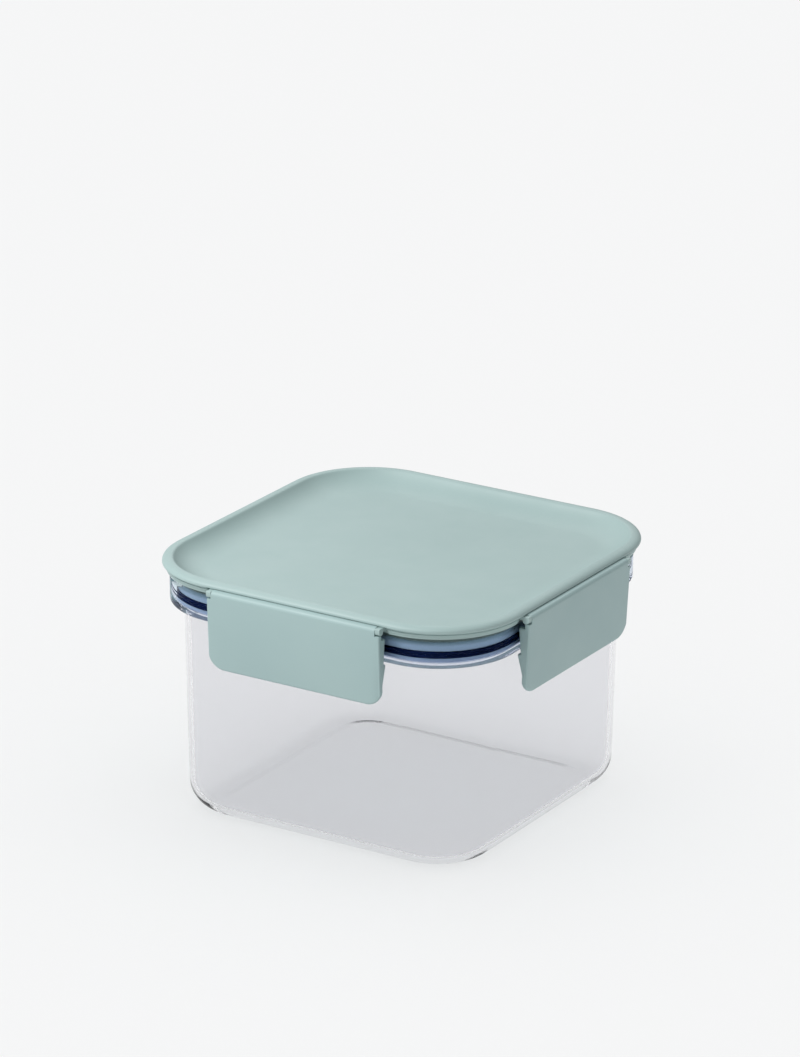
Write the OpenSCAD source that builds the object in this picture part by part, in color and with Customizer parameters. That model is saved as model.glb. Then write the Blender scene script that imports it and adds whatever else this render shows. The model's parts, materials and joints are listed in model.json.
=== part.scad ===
// Square food canister: a clear tub with a rim band, and a gasketed lid that
// four hinged flaps lock under the band. Origin at the centre of the base, +Z up.

/* [Overall] */
// Width across the lip of the lid
lid_w = 150; // [146:1:180]
// Height of the closed canister
canister_h = 100; // [80:1:160]
// Corner radius of the lip of the lid, seen from above
lip_corner_r = 34.5; // [31:0.5:40]

/* [Tub] */
// Thickness of the tub's walls
tub_wall = 2; // [1.6:0.1:2.4]
// Thickness of the tub's floor
tub_floor = 2.6; // [2:0.1:4]
// How far the top of the tub's wall lies inside the lip
tub_inset = 8.2; // [7.4:0.1:9]
// Lean of the tub's walls, in degrees
tub_draft = 1; // [0.5:0.1:1.6]
// Radius of the outer edge along the foot
foot_r = 8; // [4:0.5:9]
// Width of the ring that the tub stands on
foot_ring_w = 5; // [3:0.5:6]
// Depth of the hollow inside the foot ring
foot_hollow = 0.8; // [0.4:0.1:1]

/* [Rim band] */
// How far the rim band lies inside the lip
rim_inset = 2.8; // [2.6:0.1:3.1]
// Height of the rim band
rim_h = 10.1; // [9.5:0.1:12]
// Thickness of the rim band
rim_wall = 2.1; // [1.8:0.1:2.4]
// Thickness of the step below the rim band
ledge_t = 1.5; // [1.2:0.1:2]

/* [Lid] */
// Height of the lip's edge, from its top to its underside
lip_edge_h = 2; // [1.9:0.1:2.4]
// Width of the lip's outer shoulder, from its edge to its crest
lip_shoulder_w = 3.4; // [2.8:0.1:4]
// Height of the lip's outer shoulder
lip_round_h = 1.7; // [1:0.1:1.9]
// Radius of the crest on its inner side
crest_r = 1.5; // [1.2:0.1:1.8]
// Height of the lid's side, from the top of the lip to the rim band
lid_side_h = 6.9; // [6.5:0.1:8]
// Depth of the dish in the lid's top
dish_depth = 5.5; // [5:0.1:6]
// Width of the cove between the lip and the flat of the dish
cove_w = 12.5; // [11.5:0.5:14]
// Slope of the cove where it leaves the crest, in degrees
cove_slope = 50; // [48:1:55]
// Thickness of the flat of the lid
panel_t = 1.6; // [1.2:0.1:1.8]
// How far the foot of the skirt lies inside the lip
skirt_inset = 1.6; // [1.3:0.1:1.9]
// How far the ridge around the skirt stands out
ridge_out = 0.35; // [0.2:0.05:0.5]
// Height of the ridge around the skirt
ridge_h = 0.8; // [0.4:0.1:0.9]
// How far the ridge lies below the underside of the lip
ridge_drop = 1.1; // [0.8:0.1:1.4]

/* [Seal] */
// Thickness of the plug's wall behind the gasket
plug_wall = 2; // [1.6:0.1:3]
// Gap between the plug and the inside of the rim band
plug_gap = 0.6; // [0.4:0.1:1]
// Thickness of the flange that joins the seal carrier to the lid
carrier_flange_t = 1.2; // [1:0.1:1.4]
// Height of the gasket
gasket_h = 3.4; // [2.6:0.1:4]
// Depth of the groove that holds the gasket
groove_depth = 2.4; // [1.6:0.1:3]
// Gap between the gasket and the inside of the rim band
gasket_gap = 0.25; // [0.2:0.05:0.35]
// Thickness of the lip below the gasket groove
groove_lip = 1.2; // [0.8:0.1:1.4]

/* [Flaps] */
// Width of a flap
flap_w = 75; // [50:0.5:76]
// Height of a flap
flap_h = 31; // [26:0.5:32]
// Thickness of a flap
flap_t = 2; // [1.6:0.1:2.2]
// How far a flap stands proud of the lip at its top
flap_proud = 2.4; // [1.6:0.1:2.6]
// How far a flap's plate lies inside the round of its barrel
plate_shy = 0.1; // [0.05:0.05:0.3]
// Lean of a flap towards the tub, in degrees
flap_lean = 3; // [0:0.5:3.5]
// Turn of a flap from hanging clear to latched, in degrees
latch_turn = 4.5; // [3:0.5:5]
// Radius of a flap's lower corners
flap_corner_r = 6.5; // [4:0.5:10]
// Gap between a flap's bead and the face of the rim band while unlatched
bead_gap = 0.2; // [0.15:0.05:0.3]
// Gap between the top of the bead and the step of the rim band
bead_drop = 0.4; // [0.3:0.1:0.8]
// Height of the bead
bead_h = 6; // [4:0.5:8]

/* [Hinges] */
// Radius of a flap's hinge barrel
barrel_r = 1.5; // [1.4:0.05:1.6]
// Radius of a hinge pin
pin_r = 0.7; // [0.5:0.05:0.8]
// Radial clearance of a flap on its pin
pin_running_gap = 0.05; // [0.02:0.01:0.1]
// Radial clearance of a pin in the lid's ears
pin_seat_gap = 0.02; // [0.01:0.01:0.03]
// Width of an ear that holds the end of a pin
ear_w = 1.8; // [1.4:0.1:2.4]
// How far the ears lie inside the round of the barrel
ear_shy = 0.15; // [0.05:0.05:0.3]
// Side gap between moving pieces
side_gap = 0.3; // [0.2:0.05:0.4]
// Free width of the recess beyond each end of a flap
recess_end = 1.8; // [1:0.1:2.5]
// Free depth of the recess behind the barrel
recess_back = 2; // [1:0.1:2.2]

/* [Hidden] */
$fn = 96;

ARC_STEPS = 8;       // straight steps in each round stretch of an outline
CUT = 1;             // how far a cut runs past the face that it opens
MERGE = 0.3;         // how far joined shapes run into each other

lip_half = lid_w / 2;
corner_c = lip_half - lip_corner_r;

// heights, from the top of the lip down
lip_under_z = canister_h - lip_edge_h;
lip_wide_z = canister_h - lip_round_h;
panel_top_z = canister_h - dish_depth;
panel_under_z = panel_top_z - panel_t;
rim_top_z = canister_h - lid_side_h;
flange_top_z = rim_top_z + carrier_flange_t;
rim_step_z = rim_top_z - rim_h;
ledge_z = rim_step_z + ledge_t;
ridge_z = lip_under_z - ridge_drop - ridge_h;

// insets of the tub's faces from the lip's outline
wall_base_inset = tub_inset + rim_step_z * tan(tub_draft);
foot_flat_inset = wall_base_inset + foot_r;
rim_inner_inset = rim_inset + rim_wall;

// seal carrier and gasket
plug_inset = rim_inner_inset + plug_gap;
groove_inset = plug_inset + groove_depth;
plug_inner_inset = groove_inset + plug_wall;
plug_under_z = ledge_z + side_gap;
groove_z = plug_under_z + groove_lip;
gasket_inset = rim_inner_inset + gasket_gap;
carrier_inset = rim_inner_inset - side_gap;

// hinge axis of the flap on the +X side
axis_x = lip_half + flap_proud - barrel_r;
axis_z = lip_under_z - side_gap - barrel_r;
recess_x = axis_x - barrel_r - recess_back;
recess_len = flap_w + 2 * recess_end;
flap_face_x = lip_half + flap_proud - plate_shy;
flap_top_z = axis_z + barrel_r;
flap_foot_z = flap_top_z - flap_h;
bead_top_z = rim_step_z - bead_drop;
bead_tip_x = lip_half - rim_inset + bead_gap;
ear_r = barrel_r - ear_shy;
rib_w = ear_w;
barrel_len = flap_w - 2 * (ear_w + side_gap);
ear_foot_z = axis_z - ear_r;

SAGE = [0.66, 0.76, 0.75];
CLEAR = [0.86, 0.88, 0.92, 0.35];
PALE = [0.86, 0.9, 0.96];
NAVY = [0.05, 0.1, 0.3];
STEEL = [0.75, 0.76, 0.78];

// Points along a round stretch of an outline, between two angles
function arc(x, z, rx, rz, from, to) = [
    for (i = [0 : ARC_STEPS]) let (t = from + (to - from) * i / ARC_STEPS)
        [x + rx * cos(t), z + rz * sin(t)]
];

// Carries a profile around the rounded square of the lip's outline.
// In the profile, x is minus the inset from that outline, and y is the height.
module around_outline() {
    for (side = [0 : 3]) rotate(90 * side) {
        translate([corner_c, corner_c, 0])
            rotate_extrude(angle = 90) translate([lip_corner_r, 0]) children();
        translate([lip_half, corner_c, 0])
            rotate([90, 0, 0]) linear_extrude(2 * corner_c) children();
    }
}

// Fills the square between the four corner centres.
module middle_plate(z_low, z_high) {
    translate([-corner_c, -corner_c, z_low])
        cube([2 * corner_c, 2 * corner_c, z_high - z_low]);
}

module on_side(name) {
    turn = name == "front" ? -90 : name == "right" ? 0 : name == "back" ? 90 : 180;
    rotate(turn) children();
}

module along_side(r, length) {
    translate([axis_x, length / 2, axis_z]) rotate([90, 0, 0]) cylinder(r = r, h = length);
}

module tub_profile() {
    in_r = foot_r - tub_wall;
    floor_arc_inset = wall_base_inset + tub_wall + in_r;
    polygon(concat(
        [[-lip_corner_r, foot_hollow], [-foot_flat_inset - foot_ring_w, foot_hollow]],
        [[-foot_flat_inset - foot_ring_w, 0]],
        arc(-foot_flat_inset, foot_r, foot_r, foot_r, -90, 0),
        [[-tub_inset, rim_step_z], [-rim_inset, rim_step_z], [-rim_inset, rim_top_z]],
        [[-rim_inner_inset, rim_top_z], [-rim_inner_inset, ledge_z], [-tub_inset - tub_wall, ledge_z]],
        arc(-floor_arc_inset, tub_floor + in_r, in_r, in_r, 0, -90),
        [[-lip_corner_r, tub_floor]]
    ));
}

module tub() {
    color(CLEAR) {
        around_outline() tub_profile();
        middle_plate(foot_hollow, tub_floor);
    }
}

// The cove is part of an ellipse that leaves the crest at cove_slope and ends level.
module cover_profile() {
    crest_turn = 90 - cove_slope;
    cove_x = lip_shoulder_w + crest_r * cos(crest_turn);
    cove_z = canister_h - crest_r * (1 - sin(crest_turn));
    cove_fall = cove_z - panel_top_z;
    cove_turn = asin(cove_fall / (tan(cove_slope) * cove_w - cove_fall));
    cove_rz = cove_fall / (1 - sin(cove_turn));
    cove_end = cove_x + cove_w;
    polygon(concat(
        [[-carrier_inset, rim_top_z], [-skirt_inset, rim_top_z], [-skirt_inset, ridge_z]],
        [[ridge_out - skirt_inset, ridge_z], [ridge_out - skirt_inset, ridge_z + ridge_h]],
        [[-skirt_inset, ridge_z + ridge_h], [0, lip_under_z]],
        arc(-lip_shoulder_w, lip_wide_z, lip_shoulder_w, lip_round_h, 0, 90),
        arc(-lip_shoulder_w, canister_h - crest_r, crest_r, crest_r, 100, 180 - crest_turn),
        arc(-cove_end, panel_top_z + cove_rz, cove_w / cos(cove_turn), cove_rz, -cove_turn, -90),
        [[-lip_corner_r, panel_top_z], [-lip_corner_r, panel_under_z], [-cove_end, panel_under_z]],
        [[-plug_inner_inset, flange_top_z], [-carrier_inset, flange_top_z]]
    ));
}

module hinge_recess() {
    translate([recess_x, -recess_len / 2, rim_top_z - CUT])
        cube([lip_half - recess_x + CUT, recess_len, lip_under_z - rim_top_z + CUT]);
}

module hinge_ears() {
    difference() {
        for (end = [-1, 1]) translate([0, end * (flap_w - ear_w) / 2, 0]) {
            along_side(ear_r, ear_w);
            translate([recess_x - MERGE, -ear_w / 2, axis_z])
                cube([lip_half - recess_x, ear_w, lip_under_z - axis_z + MERGE]);
            translate([recess_x - MERGE, -ear_w / 2, axis_z])
                cube([axis_x - recess_x + MERGE, ear_w, ear_r]);
        }
        along_side(pin_r + pin_seat_gap, flap_w + 2 * CUT);
    }
}

module lid_cover() {
    color(SAGE) {
        difference() {
            union() {
                around_outline() cover_profile();
                middle_plate(panel_under_z, panel_top_z);
            }
            for (side = [0 : 3]) rotate(90 * side) hinge_recess();
        }
        for (side = [0 : 3]) rotate(90 * side) hinge_ears();
    }
}

module seal_carrier() {
    color(PALE) around_outline() polygon([
        [-plug_inset, plug_under_z], [-plug_inset, groove_z], [-groove_inset, groove_z],
        [-groove_inset, groove_z + gasket_h], [-plug_inset, groove_z + gasket_h], [-plug_inset, rim_top_z],
        [-carrier_inset, rim_top_z], [-carrier_inset, flange_top_z],
        [-plug_inner_inset, flange_top_z], [-plug_inner_inset, plug_under_z]
    ]);
}

module gasket() {
    color(NAVY) around_outline() polygon([
        [-groove_inset, groove_z], [-gasket_inset, groove_z],
        [-gasket_inset, groove_z + gasket_h], [-groove_inset, groove_z + gasket_h]
    ]);
}

// Outline of a flap: x runs along the side, y is the height. The upper corners
// are cut away for the ears.
module flap_outline() {
    side_x = flap_w / 2;
    translate([-side_x, flap_foot_z + flap_corner_r])
        square([flap_w, ear_foot_z - side_gap - flap_foot_z - flap_corner_r]);
    translate([MERGE - barrel_len / 2, flap_foot_z + flap_corner_r])
        square([barrel_len - 2 * MERGE, axis_z - flap_foot_z - flap_corner_r]);
    translate([flap_corner_r - side_x, flap_foot_z])
        square([flap_w - 2 * flap_corner_r, flap_corner_r + MERGE]);
    for (end = [-1, 1]) translate([end * (side_x - flap_corner_r), flap_foot_z + flap_corner_r])
        circle(r = flap_corner_r);
}

// Middle of a flap's plate at the height z
function plate_mid(z) = flap_face_x - flap_t / 2 - (axis_z - z) * tan(flap_lean);

// Inner edge of a rib at the height z: it just clears the rim band when latched.
function rib_in(z) = lip_half - rim_inset + side_gap + (axis_z - z) * tan(latch_turn);

// Carries a section of (x, height) points across the width w at the place y.
module flap_stretch(y, w) {
    translate([0, y + w / 2, 0]) rotate([90, 0, 0]) linear_extrude(w) children();
}

module flap() {
    bead_foot_z = bead_top_z - bead_h;
    bead_tip_z = bead_top_z - bead_h / 6;
    rib_top_z = rim_top_z - side_gap;
    rib_foot_z = flap_foot_z + flap_corner_r + MERGE;
    color(SAGE) difference() {
        union() {
            translate([axis_x, 0, axis_z]) rotate([0, flap_lean, 0])
                translate([flap_face_x - flap_t - axis_x, 0, -axis_z])
                    rotate([90, 0, 90]) linear_extrude(flap_t) flap_outline();
            along_side(barrel_r, barrel_len);
            flap_stretch(0, flap_w) polygon([
                [plate_mid(bead_top_z), bead_top_z], [bead_tip_x, bead_top_z],
                [bead_tip_x, bead_tip_z], [plate_mid(bead_foot_z), bead_foot_z]
            ]);
            for (end = [-1, 1]) flap_stretch(end * (flap_w - rib_w) / 2, rib_w) polygon([
                [plate_mid(rib_top_z), rib_top_z], [rib_in(rib_top_z), rib_top_z],
                [rib_in(bead_top_z), bead_top_z], [bead_tip_x, bead_top_z],
                [bead_tip_x, bead_tip_z], [plate_mid(rib_foot_z), rib_foot_z]
            ]);
        }
        along_side(pin_r + pin_running_gap, flap_w + 2 * CUT);
    }
}

module hinge_pin() {
    color(STEEL) along_side(pin_r, flap_w);
}

tub();
lid_cover();
seal_carrier();
gasket();
on_side("front") flap();  // flap_front
on_side("right") flap();  // flap_right
on_side("back") flap();  // flap_back
on_side("left") flap();  // flap_left
on_side("front") hinge_pin();  // hinge_pin_front
on_side("right") hinge_pin();  // hinge_pin_right
on_side("back") hinge_pin();  // hinge_pin_back
on_side("left") hinge_pin();  // hinge_pin_left
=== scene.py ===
import json
import math

import bmesh
import bpy
from mathutils import Matrix, Vector

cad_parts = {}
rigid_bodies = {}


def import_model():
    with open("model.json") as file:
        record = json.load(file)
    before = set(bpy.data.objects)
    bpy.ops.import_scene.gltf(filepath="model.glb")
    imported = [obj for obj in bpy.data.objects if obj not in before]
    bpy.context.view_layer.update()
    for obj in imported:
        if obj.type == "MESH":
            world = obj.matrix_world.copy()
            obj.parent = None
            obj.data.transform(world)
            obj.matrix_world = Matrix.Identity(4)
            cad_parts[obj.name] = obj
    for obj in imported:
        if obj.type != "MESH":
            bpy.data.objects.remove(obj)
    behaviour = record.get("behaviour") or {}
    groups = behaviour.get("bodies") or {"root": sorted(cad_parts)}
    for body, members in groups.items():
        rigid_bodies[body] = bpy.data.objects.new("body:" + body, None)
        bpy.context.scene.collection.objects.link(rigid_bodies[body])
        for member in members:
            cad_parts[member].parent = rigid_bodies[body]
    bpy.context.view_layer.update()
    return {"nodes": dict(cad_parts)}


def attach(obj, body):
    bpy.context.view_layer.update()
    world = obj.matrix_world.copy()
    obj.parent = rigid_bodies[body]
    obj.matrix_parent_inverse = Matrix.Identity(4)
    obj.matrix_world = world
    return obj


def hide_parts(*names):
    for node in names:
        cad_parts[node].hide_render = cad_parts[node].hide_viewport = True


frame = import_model()

# ---------------------------------------------------------------------------
# Camera and studio. A long lens stands well back, a little above the lid, and
# a wide pale floor lies under a white dome, with a light of its own overhead.
# A key light on the left and a back light shine on the lid and its flaps.
# ---------------------------------------------------------------------------
MM = 0.001                        # the sizes below are in millimetres, unless they say metres

VIEW_TURN = math.radians(-31.7)   # round from the front, towards the right flap
VIEW_DIP = math.radians(19.75)
VIEW_ROLL = math.radians(0.27)
VIEW_AWAY = 2000.0
VIEW_AIM = (-1.2, 99.7)           # left of and above the foot's centre, as the camera sees it
FRAME_LONG_SIDE = 1057            # pixels
FOCAL_PIXELS = 5220.0
SENSOR = 36.0
CLIP_END = 50                     # metres

look = Vector((math.cos(VIEW_DIP) * math.sin(VIEW_TURN),
               math.cos(VIEW_DIP) * math.cos(VIEW_TURN), -math.sin(VIEW_DIP)))
right = Vector((math.cos(VIEW_TURN), -math.sin(VIEW_TURN), 0))
up = right.cross(look)
camera_x = right * math.cos(VIEW_ROLL) + up * math.sin(VIEW_ROLL)
camera_y = up * math.cos(VIEW_ROLL) - right * math.sin(VIEW_ROLL)
stand = (right * VIEW_AIM[0] + up * VIEW_AIM[1] - look * VIEW_AWAY) * MM

camera = bpy.data.objects.new("camera", bpy.data.cameras.new("camera"))
camera.data.sensor_width = SENSOR
camera.data.lens = SENSOR * FOCAL_PIXELS / FRAME_LONG_SIDE
camera.data.clip_end = CLIP_END
camera.matrix_world = Matrix.Translation(stand) @ Matrix(
    (camera_x, camera_y, -look)).transposed().to_4x4()
bpy.context.scene.collection.objects.link(camera)
bpy.context.scene.camera = camera

bpy.context.scene.view_settings.view_transform = "Standard"

DOME_COLOUR = (0.98, 0.99, 1.0, 1)
DOME_STRENGTH = 0.42
world = bpy.data.worlds.new("dome")
world.use_nodes = True
world.node_tree.nodes["Background"].inputs["Color"].default_value = DOME_COLOUR
world.node_tree.nodes["Background"].inputs["Strength"].default_value = DOME_STRENGTH
bpy.context.scene.world = world

LIGHTS_FACE = Vector((0, 0, 0.07))       # a place inside the canister, in metres
KEY_WAY = Vector((-0.33, -0.45, 0.69))   # where a light stands from there, in metres
KEY_POWER = 6.7
KEY_SIZE = 0.56
BACK_WAY = Vector((-0.86, 1.63, 1.54))
BACK_POWER = 7.2
BACK_SIZE = 1.5
PAPER_WAY = Vector((0, 0, 2))
PAPER_POWER = 2.05


def add_light(name, kind, way, energy):
    """A light that stands that way from the canister and faces it."""
    lamp = bpy.data.objects.new(name, bpy.data.lights.new(name, kind))
    lamp.data.energy = energy
    lamp.location = LIGHTS_FACE + way
    lamp.rotation_euler = (-way).to_track_quat("-Z", "Y").to_euler()
    bpy.context.scene.collection.objects.link(lamp)
    return lamp


def add_to_group(group, piece, state):
    """Takes a piece in or out of what a light shines on, or is stopped by."""
    group.objects.link(piece)
    group.collection_objects[len(group.objects) - 1].light_linking.link_state = state


key_shines_on = bpy.data.collections.new("key_shines_on")
key_is_stopped_by = bpy.data.collections.new("key_is_stopped_by")
for name, way, power, size in (("key", KEY_WAY, KEY_POWER, KEY_SIZE),
                               ("back_light", BACK_WAY, BACK_POWER, BACK_SIZE)):
    lamp = add_light(name, "AREA", way, power)
    lamp.data.size = size
    lamp.light_linking.receiver_collection = key_shines_on
    lamp.light_linking.blocker_collection = key_is_stopped_by
paper_light = add_light("paper_light", "SUN", PAPER_WAY, PAPER_POWER)
paper_light.data.angle = 0


def new_material(name):
    """A material with one Principled shader, and the coordinates of its piece."""
    material = bpy.data.materials.new(name)
    material.use_nodes = True
    material.node_tree.nodes.new("ShaderNodeTexCoord")
    return material


def set_shader(material, values):
    """Sets sockets of the material's shader to constant values."""
    for socket, value in values.items():
        material.node_tree.nodes["Principled BSDF"].inputs[socket].default_value = value


def feed_shader(material, socket, output):
    """Runs a node's output into a socket of the material's shader."""
    shader = material.node_tree.nodes["Principled BSDF"]
    material.node_tree.links.new(output, shader.inputs[socket])


def add_node(material, kind, values, socket, source):
    """Adds a node with these values in its sockets, and runs a source into one of them."""
    node = material.node_tree.nodes.new(kind)
    for name, value in values.items():
        node.inputs[name].default_value = value
    material.node_tree.links.new(source, node.inputs[socket])
    return node


def piece_coords(material):
    """The piece's own coordinates, in metres."""
    return material.node_tree.nodes["Texture Coordinate"].outputs["Object"]


def noise(material, scale, detail):
    """A noise over the piece, with that many spots to the metre."""
    cloud = add_node(material, "ShaderNodeTexNoise", {"Scale": scale, "Detail": detail},
                     "Vector", piece_coords(material))
    return cloud.outputs["Fac"]


def grain(material, scale, detail, depth, strength=1.0):
    """Raises the surface by a noise, to that depth in millimetres."""
    bump = add_node(material, "ShaderNodeBump", {"Strength": strength, "Distance": depth * MM},
                    "Height", noise(material, scale, detail))
    feed_shader(material, "Normal", bump.outputs["Normal"])


FLOOR_HALF = 9.0                  # metres
FLOOR_DROP = 0.0002               # metres, so that the foot does not share its plane
PAPER_GREY = (0.87, 0.87, 0.87, 1)
bm = bmesh.new()
corners = [(-1, -1), (1, -1), (1, 1), (-1, 1)]
bm.faces.new([bm.verts.new((x * FLOOR_HALF, y * FLOOR_HALF, -FLOOR_DROP)) for x, y in corners])
floor_mesh = bpy.data.meshes.new("floor")
bm.to_mesh(floor_mesh)
bm.free()
floor = bpy.data.objects.new("floor", floor_mesh)
bpy.context.scene.collection.objects.link(floor)
paper = new_material("studio_paper")
set_shader(paper, {"Base Color": PAPER_GREY, "Roughness": 0.9, "Specular IOR Level": 0.1})
grain(paper, scale=60, detail=2, depth=0.02)
floor_mesh.materials.append(paper)
floor_alone = bpy.data.collections.new("floor_alone")
add_to_group(floor_alone, floor, "INCLUDE")
paper_light.light_linking.receiver_collection = floor_alone
paper_light.light_linking.blocker_collection = floor_alone
add_to_group(key_shines_on, floor, "EXCLUDE")

# ---------------------------------------------------------------------------
# Tub. One clear moulding: rounded square walls that lean out a little, a
# floor with a narrow foot ring, and a wider rim band above a step. Moulded in
# one shot, so all its edges are soft and the walls have a faint flow wave.
# ---------------------------------------------------------------------------
CANISTER_H = 100.0
LIP_HALF = 75.0                   # half the width across the lid's lip
LIP_CORNER_R = 34.5
CORNER_C = LIP_HALF - LIP_CORNER_R
TUB_INSET = 8.2                   # insets run inwards from the lip's outline
TUB_WALL = 2.0
TUB_DRAFT = math.tan(math.radians(1))
TUB_FLOOR = 2.6
FOOT_R = 10.5
FOOT_HOLLOW = 0.8
FOOT_RING_W = 5.0
FOOT_RING_SLOPE = 4.0
FOOT_RING_R = 9.0
RIM_INSET = 2.8
RIM_WALL = 2.1
RIM_INSIDE = RIM_INSET + RIM_WALL
RIM_BELOW_LID = 6.9
RIM_H = 10.1
RIM_TOP = CANISTER_H - RIM_BELOW_LID
RIM_STEP = RIM_TOP - RIM_H
LEDGE_T = 1.5                     # the step's thickness
LEDGE = RIM_STEP + LEDGE_T
CORNER_STEPS = 32
SIDE_STEPS = 10
FLOOR_FILL = 33.0                 # inset where the flat middle of a panel starts
WELD = 0.001                      # points this near to each other become one
SLIVER = 0.0005                   # edges shorter than this are taken out
SHARP = math.radians(32)
STRAIGHT = 0.01                   # radians off a straight line
MOST_OF_SIDE = 0.49               # the share of a side that one rounding may take


def arc(x, z, rx, rz, start, end, steps):
    """Points on an ellipse between two angles in degrees."""
    turns = [math.radians(start + (end - start) * i / steps) for i in range(steps + 1)]
    return [(x + rx * math.cos(t), z + rz * math.sin(t)) for t in turns]


def soften(outline, closed, steps=4):
    """Rounds the corners of an outline of (x, z, radius) points; an open one keeps its ends."""
    made, count = [], len(outline)
    for i, (x, z, r) in enumerate(outline):
        if r == 0 or (not closed and i in (0, count - 1)):
            made.append((x, z))
            continue
        here = Vector((x, z))
        back = Vector(outline[i - 1][:2]) - here
        ahead = Vector(outline[(i + 1) % count][:2]) - here
        angle = back.angle(ahead)
        if abs(angle - math.pi) < STRAIGHT:      # a straight run keeps as many points
            ends = here + back.normalized() * r / 4, here + ahead.normalized() * r / 4
            made += [tuple(ends[0].lerp(ends[1], k / steps)) for k in range(steps + 1)]
            continue
        reach = min(r / math.tan(angle / 2), back.length * MOST_OF_SIDE, ahead.length * MOST_OF_SIDE)
        r = reach * math.tan(angle / 2)
        halfway = (back.normalized() + ahead.normalized()).normalized()
        middle = here + halfway * r / math.sin(angle / 2)
        first = here + back.normalized() * reach - middle
        last = here + ahead.normalized() * reach - middle
        sweep = first.angle_signed(last)
        for k in range(steps + 1):
            made.append(tuple(middle + Matrix.Rotation(-sweep * k / steps, 2) @ first))
    return made


def lip_stations(side_places):
    """Round the lip: each section's centre, its direction, and the mark of its place.

    side_places holds (place, mark) pairs along one straight side; corners have no mark.
    """
    made = []
    for quarter in range(4):
        turn = Matrix.Rotation(math.radians(90 * quarter), 2)
        for y, mark in side_places:
            made.append((turn @ Vector((CORNER_C, y)), turn @ Vector((1, 0)), mark))
        for k in range(CORNER_STEPS):
            t = math.radians(90 * k / CORNER_STEPS)
            made.append((turn @ Vector((CORNER_C, CORNER_C)),
                         turn @ Vector((math.cos(t), math.sin(t))), False))
    return made


PLAIN_STATIONS = lip_stations([(-CORNER_C + 2 * CORNER_C * k / SIDE_STEPS, False)
                               for k in range(SIDE_STEPS)])


def sweep_round(bm, profile, marked_profile=None, closed=False, stations=PLAIN_STATIONS):
    """Carries a profile of (inset, height) points round the lip's outline.

    Marked stations take the second profile. An open profile starts and ends in a flat panel.
    """
    rows = []
    for centre, way, mark in stations:
        row = []
        for inset, z in (marked_profile if mark else profile):
            x, y = centre + way * (LIP_CORNER_R - inset)
            row.append(bm.verts.new((x * MM, y * MM, z * MM)))
        rows.append(row)
    for i, row in enumerate(rows):
        after = rows[(i + 1) % len(rows)]
        for j in range(len(row) if closed else len(row) - 1):
            k = (j + 1) % len(row)
            bm.faces.new((row[j], after[j], after[k], row[k]))
    if not closed:
        bm.faces.new([row[0] for row in reversed(rows)])
        bm.faces.new([row[-1] for row in rows])


def finish_piece(bm, name, material, body, slot, *nodes):
    """Turns the mesh into a smooth piece that rides on its body and stands for its nodes."""
    bmesh.ops.remove_doubles(bm, verts=bm.verts, dist=WELD * MM)
    bmesh.ops.dissolve_degenerate(bm, edges=bm.edges, dist=SLIVER * MM)
    bmesh.ops.recalc_face_normals(bm, faces=bm.faces)
    mesh = bpy.data.meshes.new(name)
    bm.to_mesh(mesh)
    bm.free()
    mesh.shade_smooth()
    mesh.set_sharp_from_angle(angle=SHARP)
    mesh.materials.append(material)
    piece = bpy.data.objects.new(name, mesh)
    bpy.context.scene.collection.objects.link(piece)
    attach(piece, body)
    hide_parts(*nodes)
    return piece


wall_foot = TUB_INSET + RIM_STEP * TUB_DRAFT
inner_r = FOOT_R - TUB_WALL
ring_out = wall_foot + FOOT_R
foot_ring = soften([
    (FLOOR_FILL, FOOT_HOLLOW, 0), (ring_out + FOOT_RING_W, FOOT_HOLLOW, FOOT_RING_R),
    (ring_out + FOOT_RING_W - FOOT_RING_SLOPE, 0, FOOT_RING_R), (ring_out, 0, 0)], False, 8)
walls = soften([
    (wall_foot, FOOT_R, 0), (TUB_INSET, RIM_STEP, 1.0), (RIM_INSET, RIM_STEP, 1.2),
    (RIM_INSET, RIM_TOP, 0.5), (RIM_INSIDE, RIM_TOP, 0.5),
    (RIM_INSIDE, LEDGE, 0.8), (TUB_INSET + TUB_WALL, LEDGE, 0.8),
    (wall_foot + TUB_WALL, TUB_FLOOR + inner_r, 0)], False)
tub_profile = (
    foot_ring
    + arc(ring_out, FOOT_R, -FOOT_R, FOOT_R, -90, 0, 12)[1:]
    + walls[1:-1]
    + arc(wall_foot + TUB_WALL + inner_r, TUB_FLOOR + inner_r, -inner_r, inner_r, 0, -90, 10)
    + [(FLOOR_FILL, TUB_FLOOR)]
)


def by_height(material, socket, stops):
    """Feeds the shader a value that changes softly from stop to stop of (height, value)."""
    split = add_node(material, "ShaderNodeSeparateXYZ", {}, "Vector", piece_coords(material))
    share = add_node(material, "ShaderNodeMapRange", {"From Max": CANISTER_H * MM},
                     "Value", split.outputs["Z"])
    ramp = add_node(material, "ShaderNodeValToRGB", {}, "Fac", share.outputs["Result"])
    places = ramp.color_ramp.elements
    for i, (z, value) in enumerate(stops):
        stop = places[i] if i < 2 else places.new(1)
        stop.position = z / CANISTER_H
        stop.color = (*value, 1)
    feed_shader(material, socket, ramp.outputs["Color"])


WALL_TINT = (0.925, 0.925, 0.94)
# the step, ledge and band are tinted blue and lavender: a painted reflection of the blue carrier and
# navy gasket
STEP_PAINTED_REFLECTION = (0.66, 0.72, 0.83)
LEDGE_PAINTED_REFLECTION = (0.66, 0.72, 0.86)
BAND_PAINTED_REFLECTION = (0.76, 0.86, 0.94)
# painted shade and a painted reflection of the lid's dark underside, on the clear rim's top
BRIM_PAINTED_SHADE = (0.35, 0.45, 0.45)
WALL_CLEAR = (0.968,) * 3         # the share of light that passes, as a grey
STEP_CLEAR = (0.9,) * 3
BAND_CLEAR = (1,) * 3

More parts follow.
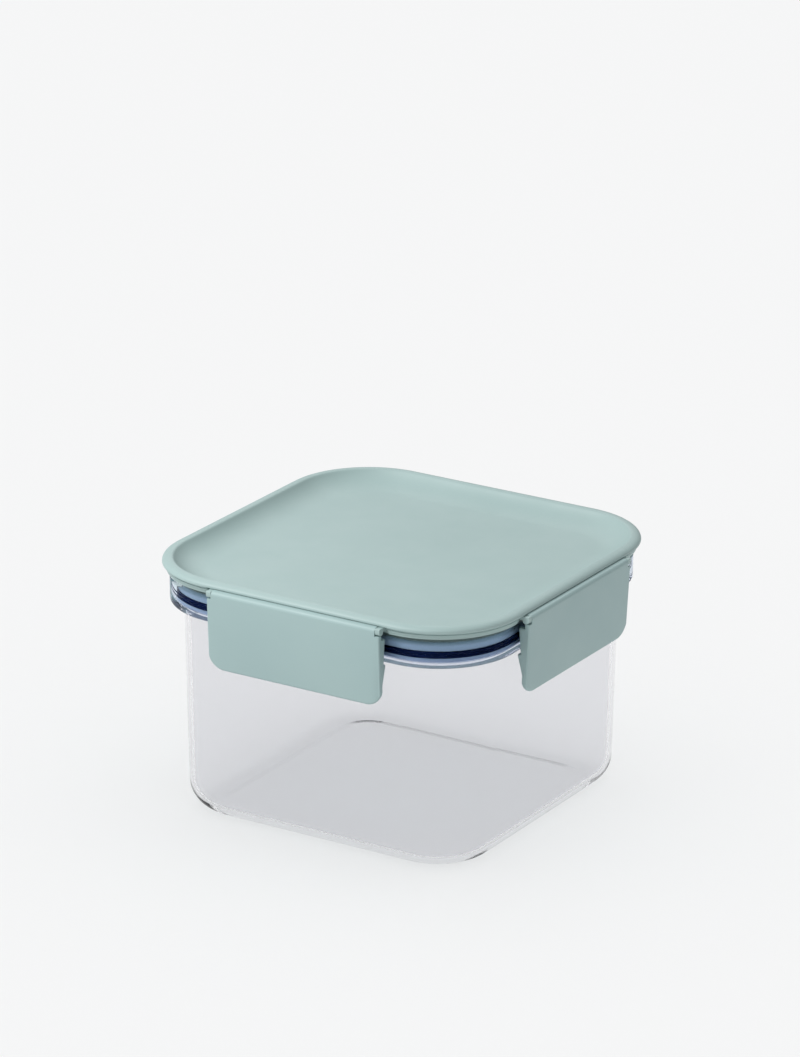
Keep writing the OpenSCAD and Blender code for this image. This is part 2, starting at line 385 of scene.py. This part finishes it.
clear = new_material("clear_moulding")
# tinted by height: painted blue reflection on the step, ledge and band, painted shade on the rim's
# top
by_height(clear, "Base Color", [
    (RIM_STEP - 0.5, WALL_TINT), (RIM_STEP - 0.1, STEP_PAINTED_REFLECTION),
    (LEDGE + 1.0, LEDGE_PAINTED_REFLECTION), (LEDGE + 1.8, BAND_PAINTED_REFLECTION),
    # the last stop darkens the rim's top: painted shade and painted reflection of the lid above
    (RIM_TOP - 1.2, BAND_PAINTED_REFLECTION), (RIM_TOP - 0.3, BRIM_PAINTED_SHADE)])
by_height(clear, "Transmission Weight", [
    (RIM_STEP - 3, WALL_CLEAR), (RIM_STEP - 0.2, STEP_CLEAR),
    (LEDGE + 0.8, STEP_CLEAR), (LEDGE + 1.8, BAND_CLEAR)])
set_shader(clear, {"IOR": 1.05, "Roughness": 0.04})
grain(clear, scale=12, detail=1, depth=0.12, strength=0.3)

bm = bmesh.new()
sweep_round(bm, tub_profile)
tub = finish_piece(bm, "tub", clear, "tub", "clear_plastic", "tub")
add_to_group(key_shines_on, tub, "EXCLUDE")
add_to_group(key_is_stopped_by, tub, "EXCLUDE")

# ---------------------------------------------------------------------------
# Lid cover. A satin sage moulding: a raised round lip, a cove down to a flat
# dish, and a short skirt with a fine ridge. On each side the skirt is set
# back in a recess, where two ears hold the ends of a hinge pin.
# ---------------------------------------------------------------------------
LIP_H = 2.0
LIP_UNDER = CANISTER_H - LIP_H
SHOULDER_W = 3.4
SHOULDER_H = 1.7
CREST_R = 1.5
DISH_DEPTH = 5.5
DISH_T = 1.6
DISH_TOP = CANISTER_H - DISH_DEPTH
DISH_UNDER = DISH_TOP - DISH_T
COVE_W = 12.5
COVE_SLOPE = 50                   # degrees, where the cove leaves the crest
FLANGE_LAP = 0.3                  # of the seal carrier, over the rim band's top
FLANGE_H = 1.2
PLUG_GAP = 0.6                    # between the rim band and the carrier's plug
PLUG_WALL = 2.0                   # behind the groove
GROOVE_DEPTH = 2.4
CARRIER_INSET = RIM_INSIDE - FLANGE_LAP
PLUG_INSET = RIM_INSIDE + PLUG_GAP
GROOVE_INSET = PLUG_INSET + GROOVE_DEPTH
PLUG_INNER = GROOVE_INSET + PLUG_WALL
FLANGE_TOP = RIM_TOP + FLANGE_H
SKIRT_INSET = 1.6
SKIRT_CLEAR = 0.2                 # between the skirt's back and the carrier
SKIRT_BACK = CARRIER_INSET - SKIRT_CLEAR
SKIRT_ABOVE_RIM = 1.9
SKIRT_FOOT = RIM_TOP + SKIRT_ABOVE_RIM
RIDGE_OUT = 0.35
RIDGE_H = 0.8
RIDGE_BELOW_LIP = 1.1
RIDGE_HIGH = LIP_UNDER - RIDGE_BELOW_LIP
RIDGE_LOW = RIDGE_HIGH - RIDGE_H
SIDE_GAP = 0.3                    # between parts that move past each other
BARREL_R = 1.5
FLAP_W = 75.0
FLAP_PAST_LIP = 2.4
FLAP_REACH = LIP_HALF + FLAP_PAST_LIP
AXIS_X = FLAP_REACH - BARREL_R
AXIS_Z = LIP_UNDER - SIDE_GAP - BARREL_R
RECESS_ROOM = 2.0                 # behind the barrel
RECESS_INSET = LIP_HALF - (AXIS_X - BARREL_R - RECESS_ROOM)
RECESS_PAST_FLAP = 1.8
RECESS_HALF = FLAP_W / 2 + RECESS_PAST_FLAP
SPARE_STEP = 0.5                  # sets a spare point of the recess apart
EAR_W = 1.8
EAR_CAP = 0.2                     # covers the end of the pin
EAR_GAP = 0.15                    # between an ear and the flap
EAR_SHY = 0.15                    # how far an ear stays inside the barrel's outline
EAR_R = BARREL_R - EAR_SHY
EAR_ROOT = 0.3                    # let into the recess's back
EAR_BEHIND_LIP = 0.3
EAR_INTO_LIP = 0.1
PIN_R = 0.7
PIN_SEAT_PLAY = 0.02
PIN_SEAT_R = PIN_R + PIN_SEAT_PLAY
HOLE_STEPS = 24
SAGE_DARK = (0.355, 0.475, 0.465)
SAGE_LIGHT = (0.38, 0.5, 0.49)
MOTTLE_RANGE = (0.35, 0.65)       # where most of a noise lies
ROUGHNESS_RANGE = (0.3, 0.7)

crest_turn = math.radians(90 - COVE_SLOPE)
cove_start = SHOULDER_W + CREST_R * math.cos(crest_turn)
cove_fall = CANISTER_H - CREST_R * (1 - math.sin(crest_turn)) - DISH_TOP
cove_turn = math.asin(cove_fall / (math.tan(math.radians(COVE_SLOPE)) * COVE_W - cove_fall))
cove_rx = COVE_W / math.cos(cove_turn)
cove_rz = cove_fall / (1 - math.sin(cove_turn))
cove_end = cove_start + COVE_W
dish_profile = (
    arc(SHOULDER_W, CANISTER_H - SHOULDER_H, -SHOULDER_W, SHOULDER_H, 0, 90, 12)
    + arc(SHOULDER_W, CANISTER_H - CREST_R, -CREST_R, CREST_R, 90, 90 + COVE_SLOPE, 6)[1:]
    + arc(cove_end, DISH_TOP + cove_rz, -cove_rx, cove_rz, -math.degrees(cove_turn), -90, 20)[1:]
    + [(FLOOR_FILL, DISH_TOP)]
)
inside = [(FLOOR_FILL, DISH_UNDER, 0), (cove_end, DISH_UNDER, 3), (PLUG_INNER, FLANGE_TOP, 1),
          (SKIRT_BACK, FLANGE_TOP, 0.1), (SKIRT_BACK, SKIRT_FOOT, 0.1)]
lip_edge = [(0, LIP_UNDER, 0.1), (0, CANISTER_H - SHOULDER_H, 0)]
skirt = soften(inside + [
    (SKIRT_INSET, SKIRT_FOOT, 0.4), (SKIRT_INSET, RIDGE_LOW, 0.12),
    (SKIRT_INSET - RIDGE_OUT, RIDGE_LOW, 0.2), (SKIRT_INSET - RIDGE_OUT, RIDGE_HIGH, 0.2),
    (SKIRT_INSET, RIDGE_HIGH, 0.12)] + lip_edge, False)[:-1]
recess = soften(inside + [             # as many points as the skirt, on a flat back
    (RECESS_INSET, SKIRT_FOOT, 0.1), (RECESS_INSET, RIDGE_LOW - SPARE_STEP, 0.12),
    (RECESS_INSET, RIDGE_LOW, 0.2), (RECESS_INSET, RIDGE_HIGH, 0.2),
    (RECESS_INSET, LIP_UNDER, 0.12)] + lip_edge, False)[:-1]

cover_places = [(-CORNER_C, False), (-RECESS_HALF, False)]
cover_places += [(RECESS_HALF * (2 * k / SIDE_STEPS - 1), True) for k in range(SIDE_STEPS + 1)]
cover_places += [(RECESS_HALF, False)]


def mottle(material, scale, detail, dark, light):
    """Colours the piece between dark and light, by a noise."""
    ramp = add_node(material, "ShaderNodeValToRGB", {}, "Fac", noise(material, scale, detail))
    for stop, place, colour in zip(ramp.color_ramp.elements, MOTTLE_RANGE, (dark, light)):
        stop.position = place
        stop.color = (*colour, 1)
    feed_shader(material, "Base Color", ramp.outputs["Color"])


def vary_roughness(material, scale, detail, low, high):
    """Lets the roughness wander between low and high, by a noise."""
    ends = {"From Min": ROUGHNESS_RANGE[0], "From Max": ROUGHNESS_RANGE[1],
            "To Min": low, "To Max": high}
    spread = add_node(material, "ShaderNodeMapRange", ends, "Value", noise(material, scale, detail))
    feed_shader(material, "Roughness", spread.outputs["Result"])


def satin_sage(name, dark, light):
    """Satin sage plastic, with a faint mottle and a fine moulded grain."""
    material = new_material(name)
    mottle(material, 18, 3, dark, light)
    vary_roughness(material, 90, 3, 0.42, 0.52)
    set_shader(material, {"Specular IOR Level": 0.4})
    grain(material, 1800, 3, depth=0.02, strength=0.5)
    return material


sage = satin_sage("sage_satin", SAGE_DARK, SAGE_LIGHT)

bm = bmesh.new()
sweep_round(bm, skirt + dish_profile, recess + dish_profile, stations=lip_stations(cover_places))


def ring(bm, turn, points, y):
    """Sets out an outline of (x, z) points at y along a side, and turns it to that side."""
    return [bm.verts.new((turn @ Vector((x, y, z))) * MM) for x, z in points]


def join_rings(bm, rings):
    """Joins each ring of points to the next one."""
    for one, two in zip(rings, rings[1:]):
        for i in range(len(one)):
            bm.faces.new((one[i - 1], one[i], two[i], two[i - 1]))


def close_end(bm, *loops):
    """Fills the flat face between an outline and the hole in it."""
    rim = [bm.edges.get((loop[i - 1], loop[i])) or bm.edges.new((loop[i - 1], loop[i]))
           for loop in loops for i in range(len(loop))]
    bmesh.ops.triangle_fill(bm, edges=rim, use_beauty=True)


def round_the_axis(r):
    """The outline of a hole for the hinge pin."""
    return arc(AXIS_X, AXIS_Z, r, r, 0, 360 - 360 / HOLE_STEPS, HOLE_STEPS - 1)


def add_ear(bm, turn, middle):
    """A block under the lip with a round foot, and a blind bore for the pin."""
    back, front = LIP_HALF - RECESS_INSET - EAR_ROOT, LIP_HALF - EAR_BEHIND_LIP
    head = LIP_UNDER + EAR_INTO_LIP
    outer = soften([(front, AXIS_Z + EAR_R, 0), (front, head, 0), (back, head, 0), (back, AXIS_Z, 0)]
                   + [(x, z, 0) for x, z in arc(AXIS_X, AXIS_Z, EAR_R, EAR_R, 180, 360, 20)]
                   + [(AXIS_X + EAR_R, AXIS_Z + EAR_R, 0.4)], True)
    sign = math.copysign(1, middle)
    near, seat, far = (middle + sign * w for w in (-EAR_W / 2, EAR_W / 2, EAR_W / 2 + EAR_CAP))
    block = [ring(bm, turn, outer, y) for y in (near, far)]
    bore = [ring(bm, turn, round_the_axis(PIN_SEAT_R), y) for y in (near, seat)]
    join_rings(bm, block)
    join_rings(bm, bore)
    close_end(bm, block[0], bore[0])
    close_end(bm, block[1])
    close_end(bm, bore[1])


SIDES = {"right": 0, "back": 90, "left": 180, "front": 270}
for degrees in SIDES.values():
    turn = Matrix.Rotation(math.radians(degrees), 3, "Z")
    for end in (-1, 1):
        add_ear(bm, turn, end * (FLAP_W - EAR_W) / 2)
finish_piece(bm, "lid_cover", sage, "lid", "lid_plastic", "lid_cover")

# ---------------------------------------------------------------------------
# Seal carrier and gasket. The carrier is a pale ring welded under the dish,
# with a groove around its plug. The navy silicone gasket is pushed into the
# groove, and shows as a dark line through the clear rim band.
# ---------------------------------------------------------------------------
PLUG_UNDER = LEDGE + SIDE_GAP
GROOVE_SILL = 1.2                 # the plug below the groove
GROOVE_H = 3.4
GROOVE_LOW = PLUG_UNDER + GROOVE_SILL
GROOVE_HIGH = GROOVE_LOW + GROOVE_H
MOUTH_LIP_H = 0.4                 # two small lips narrow the groove's mouth
MOUTH_LIP_T = 0.7
MOUTH_LOW = GROOVE_LOW + MOUTH_LIP_H
MOUTH_HIGH = GROOVE_HIGH - MOUTH_LIP_H
MOUTH_BACK = PLUG_INSET + MOUTH_LIP_T
GASKET_SQUEEZE = 0.02             # into the rim band that it seals against
GASKET_INSET = RIM_INSIDE - GASKET_SQUEEZE
DENT_HALF = 0.4                   # of the dent between the gasket's two ridges
DENT_DEPTH = 0.3
PLUG_TINT = (0.52, 0.6, 0.72)
# painted shade: the flange's top, in the slot under the lid's skirt, is coloured dark
FLANGE_PAINTED_SHADE = (0.12, 0.17, 0.17)
NAVY_DARK = (0.0003, 0.005, 0.036)
NAVY_LIGHT = (0.0006, 0.008, 0.05)

pale = new_material("pale_moulding")
# pale blue below, and a painted shade on the flange's top where the skirt's shadow gap falls
by_height(pale, "Base Color", [(GROOVE_HIGH + 2.6, PLUG_TINT), (RIM_TOP - 0.3, FLANGE_PAINTED_SHADE)])
vary_roughness(pale, 80, 2, 0.3, 0.4)
grain(pale, 900, 2, depth=0.01, strength=0.4)

carrier_profile = soften([
    (PLUG_INSET, PLUG_UNDER, 0.25), (PLUG_INSET, MOUTH_LOW, 0.1),
    (MOUTH_BACK, MOUTH_LOW, 0.05), (MOUTH_BACK, GROOVE_LOW, 0.05),
    (GROOVE_INSET, GROOVE_LOW, 0.1), (GROOVE_INSET, GROOVE_HIGH, 0.1),
    (MOUTH_BACK, GROOVE_HIGH, 0.05), (MOUTH_BACK, MOUTH_HIGH, 0.05),
    (PLUG_INSET, MOUTH_HIGH, 0.1), (PLUG_INSET, RIM_TOP, 0.15),
    (CARRIER_INSET, RIM_TOP, 0.1), (CARRIER_INSET, FLANGE_TOP, 0.1),
    (PLUG_INNER, FLANGE_TOP, 0.2), (PLUG_INNER, PLUG_UNDER, 0.25)], True, 3)
bm = bmesh.new()
sweep_round(bm, carrier_profile, closed=True)
finish_piece(bm, "seal_carrier", pale, "lid", "carrier_plastic", "seal_carrier")

navy = new_material("navy_silicone")
mottle(navy, 40, 2, NAVY_DARK, NAVY_LIGHT)
vary_roughness(navy, 120, 2, 0.55, 0.65)
set_shader(navy, {"Specular IOR Level": 0.08})
grain(navy, 1200, 2, depth=0.02, strength=0.5)

gasket_mid = (GROOVE_LOW + GROOVE_HIGH) / 2
gasket_profile = soften([
    (GROOVE_INSET, GROOVE_LOW, 0.2), (MOUTH_BACK, GROOVE_LOW, 0.1),
    (MOUTH_BACK, MOUTH_LOW, 0.1), (GASKET_INSET, MOUTH_LOW, 0.5),
    (GASKET_INSET, gasket_mid - DENT_HALF, 0.3), (GASKET_INSET + DENT_DEPTH, gasket_mid, 0.3),
    (GASKET_INSET, gasket_mid + DENT_HALF, 0.3), (GASKET_INSET, MOUTH_HIGH, 0.5),
    (MOUTH_BACK, MOUTH_HIGH, 0.1), (MOUTH_BACK, GROOVE_HIGH, 0.1),
    (GROOVE_INSET, GROOVE_HIGH, 0.2)], True)
bm = bmesh.new()
sweep_round(bm, gasket_profile, closed=True)
finish_piece(bm, "gasket", navy, "lid", "gasket_silicone", "gasket")

# ---------------------------------------------------------------------------
# Hinge pins. Four straight lengths of drawn steel wire, held by their ends in
# the ears; the barrels of the flaps turn on them.
# ---------------------------------------------------------------------------
WIRE_DARK = (0.55, 0.56, 0.58)
WIRE_LIGHT = (0.68, 0.69, 0.7)

steel = new_material("drawn_wire")
set_shader(steel, {"Metallic": 1})
mottle(steel, 300, 2, WIRE_DARK, WIRE_LIGHT)
vary_roughness(steel, 500, 2, 0.25, 0.4)
for side in SIDES:
    pin = frame["nodes"]["hinge_pin_" + side]
    pin.data.materials.clear()
    pin.data.materials.append(steel)

# ---------------------------------------------------------------------------
# Flaps. Four wide satin sage plates with round lower corners. Each rolls over
# into a barrel on its pin at the top, and has a bead inside that snaps below
# the step of the tub's rim band.
# ---------------------------------------------------------------------------
FLAP_H = 31.0
FLAP_LEAN = math.radians(3)
FLAP_CORNER_R = 6.5
FLAP_EDGE_R = 0.55
FLAP_FOOT = AXIS_Z + BARREL_R - FLAP_H
PLATE_T = 2.0
PLATE_IN = FLAP_REACH - PLATE_T
NECK_FOOT = AXIS_Z - EAR_R - EAR_GAP
BEAD_GAP = 0.4                    # below the step, when latched
BEAD_CHAMFER = 1.0
BEAD_H = 6.0
BEAD_PAST_BAND = 0.2
BEAD_TOP = RIM_STEP - BEAD_GAP
BEAD_NOSE = BEAD_TOP - BEAD_CHAMFER
BEAD_FOOT = BEAD_TOP - BEAD_H
BEAD_TIP = LIP_HALF - RIM_INSET + BEAD_PAST_BAND
RIB_W = EAR_W + EAR_GAP
RIB_TOP = RIM_TOP - SIDE_GAP
RIB_FOOT = FLAP_FOOT + FLAP_CORNER_R
LATCH_TURN = math.radians(4.5)
BEND_BELOW_BEAD = 1.0
FLAP_BEND = BEAD_FOOT - BEND_BELOW_BEAD      # the round corners draw up what is below this
BACK_SQUARE = 0.1                 # how much higher the barrel's squared inner top stands
PIN_BORE_PLAY = 0.05
PIN_BORE_R = PIN_R + PIN_BORE_PLAY
MIDDLE_STEPS = 6
LEAST_STEP = 0.2                  # between two sections
CORNER_ANGLES = range(0, 90, 8)   # degrees, where sections stand on the flap's roundings
EDGE_ANGLES = range(0, 91, 15)
FLAP_SAGE_DARK = (0.345, 0.475, 0.475)
FLAP_SAGE_LIGHT = (0.37, 0.5, 0.495)

flap_sage = satin_sage("sage_satin_flap", FLAP_SAGE_DARK, FLAP_SAGE_LIGHT)


def tilt(x, z, angle):
    """Turns a point about the hinge; a positive angle moves the foot inwards."""
    dx, dz = x - AXIS_X, z - AXIS_Z
    c, s = math.cos(angle), math.sin(angle)
    return AXIS_X + dx * c + dz * s, AXIS_Z + dz * c - dx * s


def upright(x, z, r):
    """A corner of the leaning flap, as it lies in the upright one."""
    return (*tilt(x, z, -FLAP_LEAN), r)


def rib_in(z):
    """Where a rib ends so that it still clears the rim band when latched."""
    return LIP_HALF - RIM_INSET + SIDE_GAP + (AXIS_Z - z) * math.tan(LATCH_TURN)


foot = [(FLAP_REACH, NECK_FOOT, 0), (FLAP_REACH, FLAP_FOOT, 0.9), (PLATE_IN, FLAP_FOOT, 0.9)]
nose = [upright(BEAD_TIP, BEAD_NOSE, 0.6), upright(BEAD_TIP, BEAD_TOP, 0.35)]
head = [(PLATE_IN, RIB_TOP, 0.3), (PLATE_IN, NECK_FOOT, 0)]
middle_low = soften(
    foot + [(PLATE_IN, BEAD_FOOT, 1.5)] + nose
    + [(PLATE_IN, BEAD_TOP, 0.3), (PLATE_IN, (BEAD_TOP + RIB_TOP) / 2, 0.4)] + head, False)
end_low = soften(
    foot + [(PLATE_IN, RIB_FOOT, 2.5)] + nose
    + [upright(rib_in(BEAD_TOP), BEAD_TOP, 0.3), upright(rib_in(RIB_TOP), RIB_TOP, 0.5)] + head,
    False)
barrel_in = 180 + math.degrees(math.acos((AXIS_X - PLATE_IN) / BARREL_R))
barrel_out = -math.degrees(math.acos((FLAP_REACH - AXIS_X) / BARREL_R))
square_back = soften([
    (AXIS_X - BARREL_R, AXIS_Z, 0), (AXIS_X - BARREL_R, AXIS_Z + BARREL_R + BACK_SQUARE, 0.4),
    (AXIS_X, AXIS_Z + BARREL_R, 0)], False)
barrel = (arc(AXIS_X, AXIS_Z, BARREL_R, BARREL_R, barrel_in, 180, 2)[:-1]
          + square_back[:-1]
          + arc(AXIS_X, AXIS_Z, BARREL_R, BARREL_R, 90, barrel_out, 14))
pin_bore = [tilt(x, z, FLAP_LEAN) for x, z in round_the_axis(PIN_BORE_R)]


def rounding(y, r):
    """How far a rounding of that radius at the flap's end draws the outline in at y."""
    past = max(0.0, abs(y) - (FLAP_W / 2 - r))
    return r - math.sqrt(max(0.0, r ** 2 - past ** 2))


def flap_row(section, y):
    """A section of the flap at that place along its width, drawn in at the corners."""
    rise, draw_in = rounding(y, FLAP_CORNER_R), rounding(y, FLAP_EDGE_R)
    row, count = [], len(section)
    for i, (x, z) in enumerate(section):
        back, ahead = Vector(section[i - 1]), Vector(section[(i + 1) % count])
        along = (ahead - back).normalized()
        x, z = x + along.y * draw_in, z - along.x * draw_in
        if z < FLAP_BEND:
            z += rise * (FLAP_BEND - z) / (FLAP_BEND - FLAP_FOOT)
        row.append(tilt(x, z, FLAP_LEAN))
    return row


half, neck_end = FLAP_W / 2, FLAP_W / 2 - RIB_W
corner_start, edge_start = half - FLAP_CORNER_R, half - FLAP_EDGE_R
corner_places = [corner_start + (FLAP_CORNER_R - FLAP_EDGE_R) * math.sin(math.radians(a))
                 for a in CORNER_ANGLES]
middle_places = [k * corner_start / MIDDLE_STEPS for k in range(MIDDLE_STEPS)]
middle_places += [y for y in corner_places if y < neck_end - LEAST_STEP] + [neck_end]
middle_places = sorted(set(middle_places) | {-y for y in middle_places})
end_places = [neck_end] + [y for y in corner_places if y > neck_end + LEAST_STEP]
end_places += [edge_start + FLAP_EDGE_R * math.sin(math.radians(a)) for a in EDGE_ANGLES]

for side, degrees in SIDES.items():
    turn = Matrix.Rotation(math.radians(degrees), 3, "Z")
    bm = bmesh.new()
    middle = [ring(bm, turn, flap_row(middle_low + barrel, y), y) for y in middle_places]
    hole = [ring(bm, turn, pin_bore, y) for y in (-neck_end, neck_end)]
    join_rings(bm, middle)
    join_rings(bm, hole)
    for end, sign in ((0, -1), (-1, 1)):
        ends = [ring(bm, turn, flap_row(end_low, sign * y), sign * y) for y in end_places]
        join_rings(bm, ends)
        close_end(bm, ends[-1])
        shared, count = middle[end], len(middle_low)
        for i in range(1, count):
            bm.faces.new((shared[i - 1], shared[i], ends[0][i], ends[0][i - 1]))
        close_end(bm, [shared[0]] + shared[count - 1:], hole[end])
    finish_piece(bm, "flap_" + side, flap_sage, side + "_flap", "flap_plastic", "flap_" + side)
